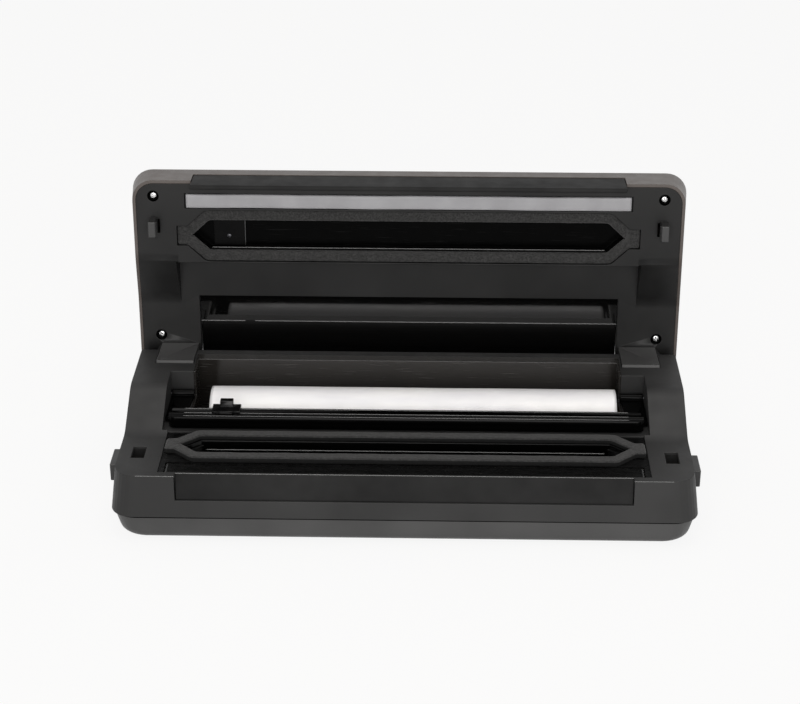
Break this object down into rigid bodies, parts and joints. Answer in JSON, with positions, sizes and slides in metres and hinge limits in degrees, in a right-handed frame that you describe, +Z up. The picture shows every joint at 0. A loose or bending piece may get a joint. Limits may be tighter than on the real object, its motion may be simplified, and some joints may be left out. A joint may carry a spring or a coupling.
{
  "type": "vacuum sealer",
  "caption": "Countertop vacuum sealer: low housing with bag roll compartment, flip-up cutter, foam-sealed chamber and a hinged lid with latches.",
  "frame": {"origin": "on the table, under the middle of the machine's overall box with the lid raised", "axes": "+X to the user's right along the machine, +Y to the back, +Z up"},
  "size_m": [0.3892, 0.1772, 0.1959],
  "materials": {
    "graphite_plastic": "fine satin texture",
    "black_plastic": "fine satin texture",
    "gloss_black_plastic": "polished",
    "slider_plastic": "satin",
    "key_plastic": "satin",
    "natural_plastic": "natural",
    "rubber_feet": "matte",
    "foam_seal": "closed cell foam",
    "grey_silicone": "matte",
    "hose_silicone": "translucent",
    "bright_steel": "bright",
    "motor_steel": "plain",
    "laminated_iron": "laminated",
    "bar_aluminium": "anodised",
    "resistance_wire": "flat ribbon",
    "brass_pins": "plated",
    "coated_tape": "woven glass cloth with a slick coating",
    "circuit_board": "solder mask",
    "bag_film": "embossed film",
    "cardboard": "card",
    "smoked_pane": "smoked, polished",
    "light_pipe": "clear"
  },
  "bodies": {
    "base": {"base_tub": "graphite_plastic", "base_deck": "graphite_plastic", "feet": "rubber_feet", "base_screws": "bright_steel", "roll_trough": "gloss_black_plastic", "seal_bed": "black_plastic", "heating_bar": "bar_aluminium", "heating_wire": "resistance_wire", "ptfe_tape": "coated_tape", "base_gasket": "foam_seal", "vacuum_tray": "gloss_black_plastic", "tray_screws": "bright_steel", "power_inlet": "black_plastic", "inlet_pins": "brass_pins", "pump_motor": "motor_steel", "pump_head": "black_plastic", "vacuum_hose": "hose_silicone", "transformer": "laminated_iron", "power_board": "circuit_board", "release_valve": "natural_plastic", "lid_switches": "black_plastic", "hinge_pins": "bright_steel", "latch_spring_left": "bright_steel", "latch_spring_right": "bright_steel"},
    "pump_shaft": {"pump_crank": "bright_steel"},
    "cutter": {"cutter_rail": "gloss_black_plastic", "cutter_pivots": "bright_steel"},
    "slider": {"cutter_slider": "slider_plastic", "cutter_blade": "bright_steel"},
    "roll": {"bag_roll": "bag_film", "roll_core": "cardboard"},
    "left_release": {"release_button_left": "black_plastic", "latch_slide_left": "natural_plastic"},
    "right_release": {"release_button_right": "black_plastic", "latch_slide_right": "natural_plastic"},
    "lid": {"lid_shell": "graphite_plastic", "lid_frame": "black_plastic", "lid_grip": "black_plastic", "lid_window": "smoked_pane", "pressing_strip": "grey_silicone", "lid_gasket": "foam_seal", "latch_hooks": "black_plastic", "lid_screws": "bright_steel", "valve_cover": "black_plastic", "valve_screw": "bright_steel", "control_panel": "gloss_black_plastic", "control_board": "circuit_board", "indicator_lights": "light_pipe"},
    "key_a": {"key_vacuum_seal": "key_plastic"},
    "key_b": {"key_seal": "key_plastic"},
    "key_c": {"key_pulse": "key_plastic"},
    "key_d": {"key_stop": "key_plastic"}
  },
  "joints": [
    {"name": "lid_hinge", "type": "hinge", "parent": "base", "child": "lid", "pos_m": [0, 0.05444, 0.0528], "axis": [1, 0, 0], "range_deg": [0, 93.7]},
    {"name": "cutter_flip", "type": "hinge", "parent": "base", "child": "cutter", "pos_m": [0, 0.02084, 0.0526], "axis": [1, 0, 0], "range_deg": [-80, 0]},
    {"name": "slider_travel", "type": "slide", "parent": "cutter", "child": "slider", "axis": [1, 0, 0], "range_m": [-0.0186, 0.2614]},
    {"name": "roll_spin", "type": "hinge", "parent": "base", "child": "roll", "pos_m": [0, 0.01694, 0.0342], "axis": [1, 0, 0], "continuous": true},
    {"name": "left_release_push", "type": "slide", "parent": "base", "child": "left_release", "axis": [1, 0, 0], "range_m": [0, 0.003], "stiffness_N_per_m": 500, "deforming": ["latch_spring_left"]},
    {"name": "right_release_push", "type": "slide", "parent": "base", "child": "right_release", "axis": [-1, 0, 0], "range_m": [0, 0.003], "stiffness_N_per_m": 500, "deforming": ["latch_spring_right"]},
    {"name": "vacuum_seal_key_push", "type": "slide", "parent": "lid", "child": "key_a", "axis": [0, -0.9979, 0.0645], "range_m": [0, 0.0008], "stiffness_N_per_m": 400},
    {"name": "seal_key_push", "type": "slide", "parent": "lid", "child": "key_b", "axis": [0, -0.9979, 0.0645], "range_m": [0, 0.0008], "stiffness_N_per_m": 400},
    {"name": "pulse_key_push", "type": "slide", "parent": "lid", "child": "key_c", "axis": [0, -0.9979, 0.0645], "range_m": [0, 0.0008], "stiffness_N_per_m": 400},
    {"name": "stop_key_push", "type": "slide", "parent": "lid", "child": "key_d", "axis": [0, -0.9979, 0.0645], "range_m": [0, 0.0008], "stiffness_N_per_m": 400},
    {"name": "pump_spin", "type": "hinge", "parent": "base", "child": "pump_shaft", "pos_m": [0, -0.04156, 0.0185], "axis": [1, 0, 0], "continuous": true}
  ]
}
